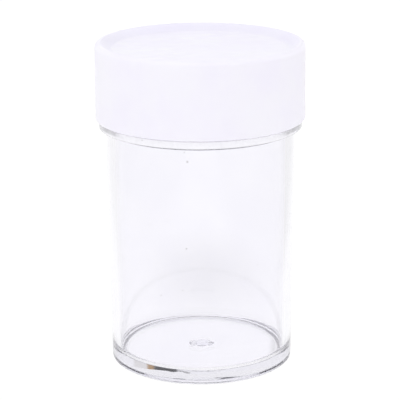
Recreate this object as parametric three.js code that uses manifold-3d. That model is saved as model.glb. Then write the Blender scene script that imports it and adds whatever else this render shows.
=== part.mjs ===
// Gold sample vial: a clear, straight-sided moulded vial, a smooth screw cap and the
// sealing disc inside the cap. Millimetres, +Z up, the vial standing on z = 0 with its
// axis on the Z axis, the cap screwed home.
import * as THREE from 'three';
import { mergeVertices } from 'three/addons/utils/BufferGeometryUtils.js';
import { ParametricGeometry } from 'three/addons/geometries/ParametricGeometry.js';
import Module from 'manifold-3d';

const wasm = await Module();
wasm.setup();

// ---------------------------------------------------------------- driving sizes
const SEG = 64;               // facets round every turned surface

// heights
const TOTAL_H = 56.3;         // foot to the cap's top rim
const CAP_BOTTOM = 43.17;     // lower edge of the skirt
const RING_TOP = 43.02;       // upper face of the vial's stop ring
const RING_BOTTOM = 41.75;    // lower edge of the stop ring
const SHOULDER = 41.45;       // where the underside of the ring meets the body
const LIP_TOP = 52.85;        // the vial's sealing lip

// vial body
const BODY_R_BASE = 15.85;    // outside, at the foot
const BODY_R_TOP = 16.26;     // outside, under the ring: the draft of the mould
const RING_R = 17.455;
const NECK_R = 15.95;         // thread root
const BORE_R_TOP = 14.75;     // inside, at the lip
const BORE_R_BASE = 14.4;     // inside, just above the floor
const FLOOR_Z = 2.0;          // inside floor
const FLOOR_FILLET = 1.3;     // inside corner
const BASE_CORNER = 0.35;     // outside corner of the foot
const FOOT_R = 14.1;          // the foot ring's inner edge
const FOOT_RECESS = 0.35;     // how far the middle of the base stands off the table

// the mould's gate mark, in the middle of the base
const DOME_R = 2.35;          // low dome on the inside floor
const DOME_H = 0.34;
const DIMPLE_R = 1.7;         // shallow dimple under it
const DIMPLE_CEILING = 0.75;

// cap
const CAP_R_BOTTOM = 18.0;
const CAP_R_TOP = 17.9;
const CAP_EDGE = 0.8;         // rounding of the top's outer edge
const RIM_R = 16.95;          // inner edge of the narrow top rim
const PANEL_R = 15.0;         // flat middle panel
const PANEL_DROP = 1.1;       // the panel lies this far below the rim
const CAP_BORE_R = 16.95;     // inside of the skirt
const CAP_CEILING = 54.1;     // underside of the panel
const CAP_MOUTH_R = 17.25;    // lead-in at the skirt's lower edge

// sealing disc
const LINER_R = 16.3;
const LINER_BOTTOM = 52.97;
const LINER_TOP = 53.98;
const LINER_EDGE = 0.12;

// single-start right-hand thread
const PITCH = 3.2;
const RIDGE_BASE = 1.3;       // width of a ridge at its root
const RIDGE_CREST = 0.6;
const VIAL_CREST_R = 16.72;
const CAP_CREST_R = 16.13;
const VIAL_THREAD_Z = 46.2;   // centre of the vial's ridge at angle 0
const VIAL_THREAD_TURNS = 1.5;
const CAP_THREAD_DROP = 1.06; // the cap's ridge runs this far under the vial's
const CAP_THREAD_START = -0.47;
const CAP_THREAD_TURNS = 1.25;
const RUN_OUT = 0.55;         // radians over which a ridge fades at each end
const STEPS_PER_TURN = 56;

// ---------------------------------------------------------------- helpers
const v2 = (r, z) => new THREE.Vector2(r, z);

function arc(cr, cz, radius, from, to, steps) {
  const out = [];
  for (let i = 0; i <= steps; i++) {
    const a = THREE.MathUtils.degToRad(from + (to - from) * i / steps);
    out.push(v2(cr + radius * Math.cos(a), cz + radius * Math.sin(a)));
  }
  return out;
}

const lathe = (points) => new THREE.LatheGeometry(points, SEG).rotateX(Math.PI / 2);

// closed three.js geometry -> manifold solid
function solid(geometry) {
  const g = geometry.clone();
  for (const name of Object.keys(g.attributes)) if (name !== 'position') g.deleteAttribute(name);
  const m = mergeVertices(g, 1e-4);
  const tri = [];
  const index = m.index.array;
  for (let i = 0; i < index.length; i += 3) {
    const [a, b, c] = [index[i], index[i + 1], index[i + 2]];
    if (a !== b && b !== c && c !== a) tri.push(a, b, c);
  }
  const wrap = (t) => new wasm.Manifold(new wasm.Mesh({
    numProp: 3,
    vertProperties: new Float32Array(m.attributes.position.array),
    triVerts: new Uint32Array(t),
  }));
  let s = wrap(tri);
  if (s.volume() < 0) {
    for (let i = 0; i < tri.length; i += 3) [tri[i + 1], tri[i + 2]] = [tri[i + 2], tri[i + 1]];
    s = wrap(tri);
  }
  return s;
}

// manifold solid -> three.js geometry
function geometryOf(s) {
  const mesh = s.getMesh();
  const g = new THREE.BufferGeometry();
  const p = new Float32Array(mesh.numVert * 3);
  for (let i = 0; i < mesh.numVert; i++) {
    for (let k = 0; k < 3; k++) p[3 * i + k] = mesh.vertProperties[mesh.numProp * i + k];
  }
  g.setAttribute('position', new THREE.BufferAttribute(p, 3));
  g.setIndex(new THREE.BufferAttribute(new Uint32Array(mesh.triVerts), 1));
  g.computeVertexNormals();
  return g;
}

// One screw-thread ridge as a closed sweep. It stands on a wall of radius rootR and
// reaches crestR; its foot is sunk a little into the wall, and it fades at both ends.
function ridge({ rootR, crestR, z0, start, turns, sink }) {
  const span = turns * 2 * Math.PI;
  const steps = Math.round(turns * STEPS_PER_TURN);
  const dir = Math.sign(crestR - rootR);
  const profile = (fade) => {
    const crest = rootR + dir * (Math.abs(crestR - rootR) * fade - sink * 0.5 * (1 - fade));
    const base = rootR - dir * sink;
    const wb = RIDGE_BASE * (0.35 + 0.65 * fade) / 2;
    const wc = RIDGE_CREST * (0.35 + 0.65 * fade) / 2;
    return [[base, -wb], [rootR, -wb], [crest, -wc], [crest, wc], [rootR, wb], [base, wb]];
  };
  const N = 6;
  const at = (u, v, target) => {
    const theta = start + span * Math.min(Math.max(u, 0), 1);
    const ends = Math.min(theta - start, start + span - theta) / RUN_OUT;
    const fade = Math.sin(Math.min(1, Math.max(0, ends)) * Math.PI / 2);
    const pr = profile(fade);
    let [r, dz] = pr[Math.round(v * N) % N];
    if (u < 1e-6 || u > 1 - 1e-6) [r, dz] = [rootR - dir * sink * 0.75, 0];
    const z = z0 + PITCH * theta / (2 * Math.PI) + dz;
    target.set(r * Math.cos(theta), r * Math.sin(theta), z);
  };
  return new ParametricGeometry(at, steps, N);
}

// ---------------------------------------------------------------- vial
const bodyRadius = (z) => BODY_R_BASE + (BODY_R_TOP - BODY_R_BASE) * z / SHOULDER;
const boreRadius = (z) => BORE_R_BASE + (BORE_R_TOP - BORE_R_BASE) * z / LIP_TOP;

const boreFilletR = boreRadius(FLOOR_Z + FLOOR_FILLET);
const vialProfile = [
  v2(0, DIMPLE_CEILING),
  v2(1.0, DIMPLE_CEILING),
  v2(DIMPLE_R, FOOT_RECESS),
  v2(FOOT_R - 0.35, FOOT_RECESS),
  v2(FOOT_R, 0),
  ...arc(BODY_R_BASE - BASE_CORNER, BASE_CORNER, BASE_CORNER, -90, 0, 4),
  v2(bodyRadius(14), 14),
  v2(bodyRadius(28), 28),
  v2(BODY_R_TOP, SHOULDER - 0.22),
  v2(BODY_R_TOP + 0.07, SHOULDER - 0.06),
  v2(BODY_R_TOP + 0.25, SHOULDER + 0.06),
  v2(RING_R - 0.18, RING_BOTTOM - 0.05),
  v2(RING_R - 0.03, RING_BOTTOM + 0.05),
  v2(RING_R, RING_BOTTOM + 0.17),
  v2(RING_R, RING_TOP - 0.15),
  v2(RING_R - 0.15, RING_TOP),
  v2(NECK_R + 0.3, RING_TOP),
  v2(NECK_R, RING_TOP + 0.3),
  v2(NECK_R, LIP_TOP - 0.35),
  v2(NECK_R - 0.1, LIP_TOP - 0.1),
  v2(NECK_R - 0.35, LIP_TOP),
  v2(BORE_R_TOP + 0.2, LIP_TOP),
  v2(BORE_R_TOP, LIP_TOP - 0.2),
  v2(boreRadius(36), 36),
  v2(boreRadius(20), 20),
  ...arc(boreFilletR - FLOOR_FILLET, FLOOR_Z + FLOOR_FILLET, FLOOR_FILLET, 0, -90, 4),
  v2(DOME_R + 0.12, FLOOR_Z),
  v2(DOME_R - 0.12, FLOOR_Z + 0.045),
  v2(1.32, FLOOR_Z + DOME_H - 0.075),
  v2(1.05, FLOOR_Z + DOME_H - 0.035),
  v2(0, FLOOR_Z + DOME_H),
];

const vialShape = solid(lathe(vialProfile)).add(solid(ridge({
  rootR: NECK_R, crestR: VIAL_CREST_R, z0: VIAL_THREAD_Z, start: 0,
  turns: VIAL_THREAD_TURNS, sink: 0.25,
})));

// ---------------------------------------------------------------- cap
const panelZ = TOTAL_H - PANEL_DROP;
const capProfile = [
  v2(0, CAP_CEILING),
  v2(CAP_BORE_R - 0.5, CAP_CEILING),
  v2(CAP_BORE_R, CAP_CEILING - 0.5),
  v2(CAP_BORE_R, CAP_BOTTOM + 1.0),
  v2(CAP_MOUTH_R, CAP_BOTTOM),
  v2(CAP_R_BOTTOM - 0.2, CAP_BOTTOM),
  v2(CAP_R_BOTTOM, CAP_BOTTOM + 0.2),
  ...arc(CAP_R_TOP - CAP_EDGE, TOTAL_H - CAP_EDGE, CAP_EDGE, 0, 90, 6),
  v2(RIM_R, TOTAL_H),
  v2(RIM_R - 0.12, TOTAL_H - 0.06),
  v2(PANEL_R + 0.27, panelZ + 0.155),
  v2(PANEL_R, panelZ + 0.04),
  v2(PANEL_R - 0.31, panelZ),
  v2(0, panelZ),
];

const capShape = solid(lathe(capProfile)).add(solid(ridge({
  rootR: CAP_BORE_R, crestR: CAP_CREST_R, z0: VIAL_THREAD_Z - CAP_THREAD_DROP,
  start: CAP_THREAD_START, turns: CAP_THREAD_TURNS, sink: 0.25,
})));

// ---------------------------------------------------------------- sealing disc
const linerProfile = [
  v2(0, LINER_BOTTOM),
  v2(LINER_R - LINER_EDGE, LINER_BOTTOM),
  v2(LINER_R, LINER_BOTTOM + LINER_EDGE),
  v2(LINER_R, LINER_TOP - LINER_EDGE),
  v2(LINER_R - LINER_EDGE, LINER_TOP),
  v2(0, LINER_TOP),
];

// ---------------------------------------------------------------- assembly
const clearPlastic = new THREE.MeshStandardMaterial({
  color: 0xf4f4fa, roughness: 0.05, metalness: 0, transparent: true, opacity: 0.3,
});
const capPlastic = new THREE.MeshStandardMaterial({ color: 0xf3f2fc, roughness: 0.32, metalness: 0 });
const foam = new THREE.MeshStandardMaterial({ color: 0xf6f6f4, roughness: 0.85, metalness: 0 });

function piece(name, geometry, material) {
  const mesh = new THREE.Mesh(geometry, material);
  mesh.name = name;
  return mesh;
}

const vial = new THREE.Group();
vial.add(piece('vial_body', geometryOf(vialShape), clearPlastic));
vial.add(piece('cap_liner', geometryOf(solid(lathe(linerProfile))), foam));
vial.add(piece('screw_cap', geometryOf(capShape), capPlastic));

export default vial;
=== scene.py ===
import math
import bpy
import bmesh
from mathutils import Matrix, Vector


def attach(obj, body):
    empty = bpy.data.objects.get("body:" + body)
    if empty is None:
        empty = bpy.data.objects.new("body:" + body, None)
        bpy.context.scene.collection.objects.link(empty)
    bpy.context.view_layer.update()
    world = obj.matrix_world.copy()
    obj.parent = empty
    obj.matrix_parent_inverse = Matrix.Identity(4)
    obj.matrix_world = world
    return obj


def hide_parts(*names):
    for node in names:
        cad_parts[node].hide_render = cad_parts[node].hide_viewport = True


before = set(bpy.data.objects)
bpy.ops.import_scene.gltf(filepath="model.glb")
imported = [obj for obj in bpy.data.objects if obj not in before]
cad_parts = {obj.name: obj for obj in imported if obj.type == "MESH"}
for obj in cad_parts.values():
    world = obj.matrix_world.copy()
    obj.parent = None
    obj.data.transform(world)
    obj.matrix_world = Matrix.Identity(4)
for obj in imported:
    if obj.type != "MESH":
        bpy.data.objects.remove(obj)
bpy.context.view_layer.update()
MM = 0.001

# ------------------------------------------------------------------ sizes, mm, as in the CAD
TOTAL_H = 56.3
CAP_BOTTOM = 43.17
RING_TOP, RING_BOTTOM, SHOULDER = 43.02, 41.75, 41.45
LIP_TOP = 52.85
BODY_R_BASE, BODY_R_TOP = 15.85, 16.26
RING_R, NECK_R = 17.455, 15.95
BORE_R_TOP, BORE_R_BASE = 14.75, 14.4
FLOOR_Z, FLOOR_FILLET = 2.0, 1.3
BASE_CORNER, FOOT_R, FOOT_RECESS = 0.35, 14.1, 0.35
CAP_R_BOTTOM, CAP_R_TOP, CAP_EDGE = 18.0, 17.9, 0.8
RIM_R, PANEL_R, PANEL_DROP = 16.95, 15.0, 1.1
CAP_BORE_R, CAP_CEILING, CAP_MOUTH_R = 16.95, 54.1, 17.25
LINER_R, LINER_BOTTOM, LINER_TOP = 16.3, 52.97, 53.98
PITCH, RIDGE_BASE, RIDGE_CREST = 3.2, 1.3, 0.6
VIAL_CREST_R, CAP_CREST_R = 16.72, 16.13
VIAL_THREAD_Z, VIAL_THREAD_TURNS = 46.2, 1.5
CAP_THREAD_DROP, CAP_THREAD_START, CAP_THREAD_TURNS = 1.06, -0.47, 1.25
RUN_OUT = 0.55


# ------------------------------------------------------------------ mesh helpers
def rounded(points, guard=0.06):
    """Profile corners (r, z, radius, steps, share of the run it may use) -> points with round corners,
    and a guard point close to each end of every arc so that flat runs stay flat under smooth shading."""
    out = []
    n = len(points)
    for i, p in enumerate(points):
        r, z = p[0], p[1]
        rad = p[2] if len(p) > 2 else 0
        steps = p[3] if len(p) > 3 else 6
        share = p[4] if len(p) > 4 else 0.46
        here = Vector((r, z))
        if i in (0, n - 1) or rad <= 0:
            out.append(here)
            continue
        a = Vector(points[i - 1][:2]) - here
        b = Vector(points[i + 1][:2]) - here
        la, lb = a.length, b.length
        a.normalize()
        b.normalize()
        ang = math.acos(max(-1, min(1, a.dot(b))))
        if ang > math.pi - 1e-3:
            out.append(here)
            continue
        t = rad / math.tan(ang / 2)
        t = min(t, share * la, share * lb)
        rr = t * math.tan(ang / 2)
        centre = here + (a + b).normalized() * (rr / math.sin(ang / 2))
        pa, pb = here + a * t, here + b * t
        va, vb = pa - centre, pb - centre
        turn = va.angle_signed(vb)
        if la > t + 3 * guard:
            out.append(here + a * (t + guard))
        for k in range(steps + 1):
            f = -turn * k / steps
            c, s = math.cos(f), math.sin(f)
            out.append(centre + Vector((va.x * c - va.y * s, va.x * s + va.y * c)))
        if lb > t + 3 * guard:
            out.append(here + b * (t + guard))
    return out


def refine(points, z0, z1, r0, r1, step):
    """Cuts the runs of a profile that lie in a window into pieces no longer than step."""
    out = [points[0]]
    for a, b in zip(points, points[1:]):
        inside = all(z0 - 1e-6 <= p.y <= z1 + 1e-6 and r0 <= p.x <= r1 for p in (a, b))
        k = max(1, math.ceil((b - a).length / step)) if inside else 1
        for j in range(1, k + 1):
            out.append(a.lerp(b, j / k))
    return out


def turned(name, profile, n, push=None):
    """A closed turned body: the profile starts and ends on the axis. push(theta, r, z) moves a point
    out from the axis, for a thread."""
    bm = bmesh.new()
    rings = []
    for p in profile:
        if p.x < 1e-6:
            rings.append([bm.verts.new((0, 0, p.y * MM))])
            continue
        ring = []
        for i in range(n):
            th = 2 * math.pi * i / n
            r = p.x + (push(th, p.x, p.y) if push else 0)
            ring.append(bm.verts.new((r * math.cos(th) * MM, r * math.sin(th) * MM, p.y * MM)))
        rings.append(ring)
    for a, b in zip(rings, rings[1:]):
        for i in range(n):
            j = (i + 1) % n
            if len(a) == 1 and len(b) == 1:
                continue
            if len(a) == 1:
                bm.faces.new((a[0], b[j], b[i]))
            elif len(b) == 1:
                bm.faces.new((a[i], a[j], b[0]))
            else:
                bm.faces.new((a[i], a[j], b[j], b[i]))
    bmesh.ops.recalc_face_normals(bm, faces=bm.faces)
    if bm.calc_volume(signed=True) < 0:
        bmesh.ops.reverse_faces(bm, faces=bm.faces)
    mesh = bpy.data.meshes.new(name)
    bm.to_mesh(mesh)
    bm.free()
    for f in mesh.polygons:
        f.use_smooth = True
    obj = bpy.data.objects.new(name, mesh)
    bpy.context.scene.collection.objects.link(obj)
    return obj


def smooth01(x):
    x = max(0.0, min(1.0, x))
    return x * x * (3 - 2 * x)


def ridge_height(theta, z, z0, start, turns):
    """0 to 1: how far up the thread's ridge a point of the wall is."""
    best = 0.0
    span = turns * 2 * math.pi
    k0 = int(math.floor((start - theta) / (2 * math.pi)))
    for k in range(k0, k0 + int(turns) + 4):
        t = theta + 2 * math.pi * k
        if not (start <= t <= start + span):
            continue
        fade = math.sin(min(1, min(t - start, start + span - t) / RUN_OUT) * math.pi / 2)
        wide = 0.35 + 0.65 * fade
        dz = abs(z - (z0 + PITCH * t / (2 * math.pi)))
        wb, wc = RIDGE_BASE * wide / 2, RIDGE_CREST * wide / 2
        h = fade * smooth01((wb - dz) / (wb - wc))
        best = max(best, h)
    return best


# ------------------------------------------------------------------ vial body
def body_r(z):
    return BODY_R_BASE + (BODY_R_TOP - BODY_R_BASE) * z / SHOULDER


def bore_r(z):
    return BORE_R_BASE + (BORE_R_TOP - BORE_R_BASE) * z / LIP_TOP


vial_corners = [
    (0, 0.75),
    (1.0, 0.75, 0.3, 4),
    (1.7, FOOT_RECESS, 0.3, 4),
    (FOOT_R - 0.35, FOOT_RECESS, 0.2, 4),
    (FOOT_R, 0, 0.12, 4),
    (BODY_R_BASE, 0, BASE_CORNER, 10),
    (BODY_R_TOP, SHOULDER, 0.3, 8),
    (RING_R, RING_BOTTOM, 0.2, 5),
    (RING_R, RING_TOP, 0.16, 5),
    (NECK_R, RING_TOP, 0.3, 5),
    (NECK_R, LIP_TOP, 0.33, 6),
    (BORE_R_TOP, LIP_TOP, 0.2, 5),
    (bore_r(FLOOR_Z), FLOOR_Z, FLOOR_FILLET, 12),
    (2.35, FLOOR_Z, 0.9, 7),
    (1.2, FLOOR_Z + 0.3, 0.9, 7),
    (0, FLOOR_Z + 0.34),
]


def vial_push(th, r, z):
    if z < 44.5 or abs(r - NECK_R) > 1e-3:
        return 0.0
    return (VIAL_CREST_R - NECK_R) * ridge_height(th, z, VIAL_THREAD_Z, 0.0, VIAL_THREAD_TURNS)


vial_profile = refine(rounded(vial_corners), 43.2, 52.6, NECK_R - 1e-3, NECK_R + 1e-3, 0.1)
vial = turned("vial", vial_profile, 192, vial_push)
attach(vial, "vial")
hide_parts("vial_body")

# ------------------------------------------------------------------ screw cap
PANEL_Z = TOTAL_H - PANEL_DROP
cap_corners = [
    (0, CAP_CEILING),
    (CAP_BORE_R, CAP_CEILING, 0.5, 6),
    (CAP_BORE_R, CAP_BOTTOM + 1.0, 0.3, 3),
    (CAP_MOUTH_R, CAP_BOTTOM, 0.08, 3),
    (CAP_R_BOTTOM, CAP_BOTTOM, 0.2, 5),
    (CAP_R_TOP, TOTAL_H, CAP_EDGE, 12, 0.9),
    (RIM_R, TOTAL_H, 0.25, 5),
    (PANEL_R, PANEL_Z, 1.2, 6),
    (0, PANEL_Z),
]


def cap_push(th, r, z):
    if abs(r - CAP_BORE_R) > 1e-3:
        return 0.0
    return -(CAP_BORE_R - CAP_CREST_R) * ridge_height(
        th, z, VIAL_THREAD_Z - CAP_THREAD_DROP, CAP_THREAD_START, CAP_THREAD_TURNS)


cap_profile = refine(rounded(cap_corners), CAP_BOTTOM, 52.0, CAP_BORE_R - 1e-3, CAP_BORE_R + 1e-3, 0.1)
cap = turned("cap", cap_profile, 192, cap_push)
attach(cap, "cap")
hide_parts("screw_cap")

# ------------------------------------------------------------------ sealing disc
liner_corners = [
    (0, LINER_BOTTOM),
    (LINER_R, LINER_BOTTOM, 0.16, 4),
    (LINER_R, LINER_TOP, 0.16, 4),
    (0, LINER_TOP),
]
liner = turned("sealing_disc", rounded(liner_corners), 128)
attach(liner, "liner")
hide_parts("cap_liner")


# ------------------------------------------------------------------ light levels
# painted light on the floor: its glow, painted brightening under the vial, painted shade to the left and right,
# and the painted shadow of the cap
FLOOR_GLOW, FLOOR_UNDER, FLOOR_LEFT, FLOOR_RIGHT, PAINTED_CAP_SHADOW = 0.97, 1.04, 0.93, 0.88, 0.89
TENT, TENT_TOP = 1.0, 0.93
# azimuth from +Y towards +X, elevation, both in degrees, and colour
FLAGS = [
    ((31.0, 43.0), (19.5, 24.0), (0.82, 0.81, 0.80, 1)),
    ((25.0, 31.0), (15.0, 26.0), (0.45, 0.29, 0.15, 1)),
    ((12.0, 26.0), (15.0, 27.0), (0.045, 0.045, 0.05, 1)),
]


# ------------------------------------------------------------------ materials
def material(name):
    m = bpy.data.materials.new(name)
    m.use_nodes = True
    nt = m.node_tree
    return m, nt, nt.nodes["Principled BSDF"], nt.nodes["Material Output"]


def add(nt, kind, **values):
    n = nt.nodes.new(kind)
    for k, v in values.items():
        setattr(n, k, v)
    return n


def set_input(n, key, value):
    socket = n.inputs[key]
    if isinstance(value, bpy.types.NodeSocket):
        n.id_data.links.new(value, socket)
    else:
        socket.default_value = value


def sums(nt, op, a, b=0.0, c=0.0, clamp=False):
    n = add(nt, "ShaderNodeMath", operation=op, use_clamp=clamp)
    for i, v in enumerate((a, b, c)):
        set_input(n, i, v)
    return n.outputs[0]


def vmath(nt, op, a, b=(0, 0, 0)):
    n = add(nt, "ShaderNodeVectorMath", operation=op)
    set_input(n, 0, a)
    set_input(n, 1, b)
    return n.outputs["Value"] if op in ("DOT_PRODUCT", "DISTANCE", "LENGTH") else n.outputs["Vector"]


def stretched(nt, vec, scale):
    return vmath(nt, "MULTIPLY", vec, scale)


def noise(nt, vec, scale, detail=2.0, rough=0.5, distort=0.0):
    n = add(nt, "ShaderNodeTexNoise")
    set_input(n, "Vector", vec)
    n.inputs["Scale"].default_value = scale
    n.inputs["Detail"].default_value = detail
    n.inputs["Roughness"].default_value = rough
    n.inputs["Distortion"].default_value = distort
    return n.outputs["Fac"]


def between(nt, value, lo, hi, out_lo=0.0, out_hi=1.0):
    """A smooth step of a value from lo to hi, given as out_lo to out_hi."""
    n = add(nt, "ShaderNodeMapRange", interpolation_type="SMOOTHSTEP")
    for k, v in (("Value", value), ("From Min", lo), ("From Max", hi), ("To Min", out_lo), ("To Max", out_hi)):
        set_input(n, k, v)
    return n.outputs["Result"]


def blend(nt, fac, a, b, how="MIX"):
    n = add(nt, "ShaderNodeMix", data_type="RGBA", blend_type=how)
    n.clamp_factor = True
    set_input(n, 0, fac)
    set_input(n, 6, a)
    set_input(n, 7, b)
    return n.outputs[2]


def raised(nt, height, distance, strength=1.0, under=None):
    n = add(nt, "ShaderNodeBump")
    n.inputs["Strength"].default_value = strength
    n.inputs["Distance"].default_value = distance
    set_input(n, "Height", height)
    if under is not None:
        set_input(n, "Normal", under)
    return n.outputs["Normal"]


def turned_coords(nt):
    """Object coordinates, their parts, the distance from the axis and the wall unrolled flat."""
    xyz = add(nt, "ShaderNodeTexCoord").outputs["Object"]
    part = add(nt, "ShaderNodeSeparateXYZ")
    nt.links.new(xyz, part.inputs[0])
    x, y, z = part.outputs
    flat = add(nt, "ShaderNodeCombineXYZ")
    set_input(flat, 0, x)
    set_input(flat, 1, y)
    r = vmath(nt, "LENGTH", flat.outputs[0])
    roll = add(nt, "ShaderNodeCombineXYZ")
    set_input(roll, 0, sums(nt, "MULTIPLY", sums(nt, "ARCTAN2", y, x), 0.016))
    set_input(roll, 1, z)
    return xyz, x, y, z, r, roll.outputs[0]


# clear polystyrene: a faint flow waviness from the mould, hairline scratches and a few dust specks
clear, nt, bsdf, out = material("clear_styrene")
xyz, x, y, z, r, unrolled = turned_coords(nt)
bsdf.inputs["IOR"].default_value = 1.59
outside = between(nt, r, 0.0150, 0.0153)
dust = add(nt, "ShaderNodeTexVoronoi", voronoi_dimensions="2D")
set_input(dust, "Vector", unrolled)
dust.inputs["Scale"].default_value = 150.0
picked = add(nt, "ShaderNodeSeparateColor")
nt.links.new(dust.outputs["Color"], picked.inputs[0])
speck = sums(nt, "MULTIPLY", between(nt, dust.outputs["Distance"], 0.010, 0.018, 1.0, 0.0),
             between(nt, picked.outputs[0], 0.68, 0.72))
for at, size in (((-1.7061 * 0.016, 0.03936), 0.00027), ((-1.724 * 0.016, 0.02439), 0.00017),
                 ((-0.935 * 0.016, 0.0205), 0.00014), ((-2.01 * 0.016, 0.0157), 0.00013)):
    near = vmath(nt, "DISTANCE", unrolled, (at[0], at[1], 0.0))
    speck = sums(nt, "MAXIMUM", speck, between(nt, near, size * 0.5, size, 1.0, 0.0))
speck = sums(nt, "MULTIPLY", speck, outside)
haze = noise(nt, xyz, 130.0, 3.0, 0.55)
tint = blend(nt, between(nt, haze, 0.35, 0.65), (0.955, 0.950, 0.983, 1), (0.968, 0.963, 0.990, 1))
set_input(bsdf, "Base Color", blend(nt, sums(nt, "MULTIPLY", speck, 0.75), tint, (0.42, 0.40, 0.40, 1)))
# the stop ring is rubbed a little matt by handling
worn = between(nt, r, 0.01705, 0.01735)
worn = sums(nt, "MULTIPLY", worn, between(nt, noise(nt, xyz, 500.0, 2.0, 0.5), 0.30, 0.70, 0.50, 0.62))
set_input(bsdf, "Transmission Weight", sums(nt, "SUBTRACT", 1.0, worn))
hair = noise(nt, stretched(nt, unrolled, (9.0, 1.0, 1.0)), 420.0, 2.0, 0.6, 0.4)
hair = between(nt, hair, 0.70, 0.735)
# the mould is polished less in part of the corner between the wall and the floor
corner = sums(nt, "MULTIPLY", between(nt, r, 0.0126, 0.0132), between(nt, r, 0.01455, 0.0147, 1.0, 0.0))
corner = sums(nt, "MULTIPLY", corner, sums(nt, "MULTIPLY", between(nt, z, 0.0017, 0.0019), between(nt, z, 0.0031, 0.0040, 1.0, 0.0)))
corner = sums(nt, "MULTIPLY", corner, between(nt, y, -0.007, -0.001))
polish = sums(nt, "ADD", between(nt, noise(nt, xyz, 210.0, 4.0, 0.6), 0.45, 0.75, 0.012, 0.035), sums(nt, "MULTIPLY", hair, 0.05))
set_input(bsdf, "Roughness", sums(nt, "MULTIPLY_ADD", corner, 0.09, polish, clamp=True))
wave = noise(nt, stretched(nt, xyz, (1.0, 1.0, 0.22)), 260.0, 1.0, 0.4)
bump = raised(nt, wave, 0.000016)
bump = raised(nt, sums(nt, "SUBTRACT", speck, sums(nt, "MULTIPLY", hair, 0.35)), 0.00001, 0.6, bump)
set_input(bsdf, "Normal", bump)
inside = add(nt, "ShaderNodeVolumeAbsorption")
inside.inputs["Color"].default_value = (0.90, 0.897, 0.915, 1)
inside.inputs["Density"].default_value = 45.0
nt.links.new(inside.outputs[0], out.inputs["Volume"])
vial.data.materials.append(clear)

# waxy translucent white: soft mottling, orange peel, turning marks, scuffs with a painted sheen on the sunk
# panel and painted shade on its sloped ring
white, nt, bsdf, out = material("cap_polypropylene")
xyz, x, y, z, r, unrolled = turned_coords(nt)
bsdf.inputs["IOR"].default_value = 1.49
bsdf.inputs["Subsurface Weight"].default_value = 0.4
bsdf.inputs["Subsurface Radius"].default_value = (1.0, 1.0, 1.0)
bsdf.inputs["Subsurface Scale"].default_value = 0.0007
on_panel = sums(nt, "MULTIPLY", between(nt, z, 0.0549, 0.0551), between(nt, r, 0.0146, 0.0152, 1.0, 0.0))
cloud = between(nt, noise(nt, xyz, 110.0, 3.0, 0.55), 0.32, 0.68)
tint = blend(nt, cloud, (0.905, 0.880, 1.0, 1), (0.925, 0.908, 1.0, 1))
# painted shade: the sloped ring between the rim and the sunk panel is tinted darker all round
painted_slope_shade = sums(nt, "MULTIPLY", sums(nt, "MULTIPLY", between(nt, r, 0.0149, 0.0153), between(nt, r, 0.0168, 0.0171, 1.0, 0.0)), between(nt, z, 0.0549, 0.0551))
tint = blend(nt, painted_slope_shade, tint, (0.970, 0.970, 0.992, 1), "MULTIPLY")
scuff_and_sheen = noise(nt, stretched(nt, xyz, (1.0, 1.6, 1.0)), 420.0, 3.0, 0.55, 0.3)
scuff_and_sheen = sums(nt, "MULTIPLY", between(nt, scuff_and_sheen, 0.42, 0.68), on_panel)
scuff_and_sheen = sums(nt, "MULTIPLY", scuff_and_sheen, between(nt, noise(nt, xyz, 170.0, 2.0), 0.42, 0.62))
# the scuffs are paler: partly wear, partly painted highlights (a painted sheen) on the sunk panel
tint = blend(nt, sums(nt, "MULTIPLY", scuff_and_sheen, 0.35), tint, (0.985, 0.985, 0.985, 1))
rub = between(nt, noise(nt, stretched(nt, xyz, (1.0, 1.5, 1.0)), 360.0, 3.0, 0.55), 0.45, 0.75)
tint = blend(nt, sums(nt, "MULTIPLY", sums(nt, "MULTIPLY", rub, on_panel), 0.30), tint, (0.830, 0.815, 0.925, 1))
set_input(bsdf, "Base Color", tint)
gloss = between(nt, noise(nt, xyz, 300.0, 2.0, 0.5), 0.30, 0.70, 0.32, 0.40)
set_input(bsdf, "Roughness", sums(nt, "SUBTRACT", gloss, sums(nt, "MULTIPLY", scuff_and_sheen, 0.03), clamp=True))
peel = noise(nt, xyz, 650.0, 1.0, 0.5)
rings = add(nt, "ShaderNodeTexWave", wave_type="RINGS", rings_direction="Z", wave_profile="SIN")
set_input(rings, "Vector", xyz)
rings.inputs["Scale"].default_value = 420.0
rings.inputs["Distortion"].default_value = 1.2
rings.inputs["Detail"].default_value = 2.0
marks = sums(nt, "MULTIPLY", rings.outputs["Fac"], on_panel)
bump = raised(nt, peel, 0.000010)
bump = raised(nt, marks, 0.000003, 1.0, bump)
bump = raised(nt, sums(nt, "MULTIPLY", noise(nt, xyz, 300.0, 0.0, 0.5), on_panel), 0.000012, 1.0, bump)
set_input(bsdf, "Normal", bump)
cap.data.materials.append(white)

# closed-cell foam: fine cells with paler walls
foam, nt, bsdf, out = material("liner_foam")
xyz, x, y, z, r, unrolled = turned_coords(nt)
bsdf.inputs["Subsurface Weight"].default_value = 0.8
bsdf.inputs["Subsurface Radius"].default_value = (1.0, 1.0, 1.0)
bsdf.inputs["Subsurface Scale"].default_value = 0.0012
cells = add(nt, "ShaderNodeTexVoronoi", feature="SMOOTH_F1")
set_input(cells, "Vector", xyz)
cells.inputs["Scale"].default_value = 3200.0
cells.inputs["Smoothness"].default_value = 0.35
cell = cells.outputs["Distance"]
patch = between(nt, noise(nt, xyz, 260.0, 3.0), 0.35, 0.65)
tint = blend(nt, patch, (0.945, 0.945, 0.938, 1), (0.975, 0.975, 0.972, 1))
set_input(bsdf, "Base Color", blend(nt, between(nt, cell, 0.15, 0.6, 0.0, 0.5), tint, (0.90, 0.90, 0.892, 1)))
set_input(bsdf, "Roughness", between(nt, cell, 0.1, 0.6, 0.78, 0.92))
set_input(bsdf, "Normal", raised(nt, sums(nt, "SUBTRACT", 1.0, cell), 0.00005))
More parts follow.
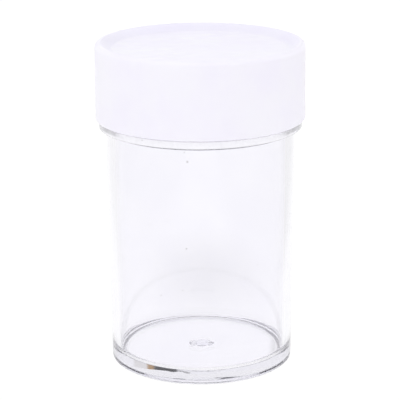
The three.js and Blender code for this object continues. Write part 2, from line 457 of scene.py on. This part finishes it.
liner.data.materials.append(foam)

# ------------------------------------------------------------------ stage
stage_mesh = bpy.data.meshes.new("floor")
bm = bmesh.new()
bmesh.ops.create_circle(bm, cap_ends=True, radius=1.6, segments=96)
bm.to_mesh(stage_mesh)
bm.free()
floor = bpy.data.objects.new("floor", stage_mesh)
bpy.context.scene.collection.objects.link(floor)
floor.location = (0, 0, -0.00002)
# a sheet of white lit from below, seen from above only, with painted light and shade: brightest along the
# middle, darker to the sides, brighter under the vial, and a painted soft shadow of the cap behind the vial
paper, nt, bsdf, out = material("floor_white")
bsdf.inputs["Base Color"].default_value = (0.06, 0.06, 0.06, 1)
bsdf.inputs["Roughness"].default_value = 0.9
bsdf.inputs["Specular IOR Level"].default_value = 0.1
bsdf.inputs["Emission Color"].default_value = (1, 1, 1, 1)
xyz, x, y, z, r, unrolled = turned_coords(nt)
# painted light and shade: the floor glows brightest along a lane down the middle and darker to the left and
# right
lane = sums(nt, "MULTIPLY_ADD", sums(nt, "MAXIMUM", y, 0.0), 0.12, 0.042)
share = sums(nt, "DIVIDE", x, lane)
glow = sums(nt, "MULTIPLY", between(nt, share, 0.9, 1.5, 1.0, FLOOR_RIGHT), between(nt, share, -1.5, -0.9, FLOOR_LEFT, 1.0))
# painted light: the floor glows brighter under the vial
glow = sums(nt, "MULTIPLY", glow, between(nt, r, 0.011, 0.0155, FLOOR_UNDER, 1.0))
# painted shadow of the cap: a soft darker spot on the floor behind the vial
shade = add(nt, "ShaderNodeCombineXYZ")
set_input(shade, 0, sums(nt, "MULTIPLY_ADD", x, 1 / 0.020, -0.05))
set_input(shade, 1, sums(nt, "MULTIPLY_ADD", y, 1 / 0.036, -0.046 / 0.036))
glow = sums(nt, "MULTIPLY", glow, between(nt, vmath(nt, "LENGTH", shade.outputs[0]), 0.05, 1.0, PAINTED_CAP_SHADOW, 1.0))
set_input(bsdf, "Emission Strength", sums(nt, "MULTIPLY", glow, FLOOR_GLOW))
one_sided = add(nt, "ShaderNodeMixShader")
nt.links.new(add(nt, "ShaderNodeNewGeometry").outputs["Backfacing"], one_sided.inputs[0])
nt.links.new(bsdf.outputs[0], one_sided.inputs[1])
nt.links.new(add(nt, "ShaderNodeBsdfTransparent").outputs[0], one_sided.inputs[2])
nt.links.new(one_sided.outputs[0], out.inputs["Surface"])
floor.data.materials.append(paper)

# ------------------------------------------------------------------ light
scene = bpy.context.scene
world = bpy.data.worlds.new("studio")
scene.world = world
world.use_nodes = True
wt = world.node_tree
bg = wt.nodes["Background"]
coord = add(wt, "ShaderNodeTexCoord")
way = coord.outputs["Generated"]


def window(angle, lo, hi, soft):
    """1 between two angles in degrees, fading to 0 outside them."""
    lo, hi, soft = math.radians(lo), math.radians(hi), math.radians(soft)
    return sums(wt, "MULTIPLY", between(wt, angle, lo - soft, lo + soft), between(wt, angle, hi - soft, hi + soft, 1.0, 0.0))


# a white tent, a little dimmer overhead, with a dark flag behind on one side for an edge in the base
rise = add(wt, "ShaderNodeSeparateXYZ")
wt.links.new(way, rise.inputs[0])
round_ = sums(wt, "ARCTAN2", rise.outputs["X"], rise.outputs["Y"])
high = sums(wt, "ARCSINE", rise.outputs["Z"])
sky = blend(wt, between(wt, rise.outputs["Z"], 0.25, 0.95), (TENT, TENT, TENT * 1.02, 1), (TENT_TOP, TENT_TOP, TENT_TOP * 1.02, 1))
for az, el, shade in FLAGS:
    cover = sums(wt, "MULTIPLY", window(round_, az[0], az[1], 1.5), window(high, el[0], el[1], 0.7))
    sky = blend(wt, cover, sky, shade)
wt.links.new(sky, bg.inputs["Color"])
bg.inputs["Strength"].default_value = 1.0


def softbox(name, where, aim, size, power):
    light = bpy.data.lights.new(name, "AREA")
    light.shape = "RECTANGLE"
    light.size, light.size_y = size
    light.energy = power
    obj = bpy.data.objects.new(name, light)
    scene.collection.objects.link(obj)
    obj.location = where
    obj.rotation_mode = "QUATERNION"
    obj.rotation_quaternion = (Vector(aim) - Vector(where)).to_track_quat("-Z", "Y")
    return obj


softbox("key", (-0.12, -0.30, 0.60), (0, 0, 0.03), (0.32, 0.32), 0.25)
softbox("fill", (0.45, 0.20, 0.45), (0, 0, 0.03), (0.3, 0.3), 0.1)

# ------------------------------------------------------------------ camera
cam_data = bpy.data.cameras.new("camera")
cam_data.lens = 154.75
cam_data.sensor_width = 36.0
cam_data.clip_start, cam_data.clip_end = 0.01, 20
camera = bpy.data.objects.new("camera", cam_data)
scene.collection.objects.link(camera)
PITCH_DOWN, ROLL = math.radians(16.32), -0.006
camera.location = (-0.00015, -0.28769, 0.11238)
fw = Vector((0, math.cos(PITCH_DOWN), -math.sin(PITCH_DOWN)))
right = Vector((1, 0, 0))
up = right.cross(fw)
r2 = right * math.cos(ROLL) + up * math.sin(ROLL)
u2 = up * math.cos(ROLL) - right * math.sin(ROLL)
from mathutils import Matrix
camera.rotation_mode = "QUATERNION"
camera.rotation_quaternion = Matrix((r2, u2, -fw)).transposed().to_quaternion()
scene.camera = camera
scene.view_settings.view_transform = "Standard"
scene.view_settings.look = "None"
scene.cycles.max_bounces = 96
scene.cycles.diffuse_bounces = 12
scene.cycles.transmission_bounces = 64
scene.cycles.glossy_bounces = 64
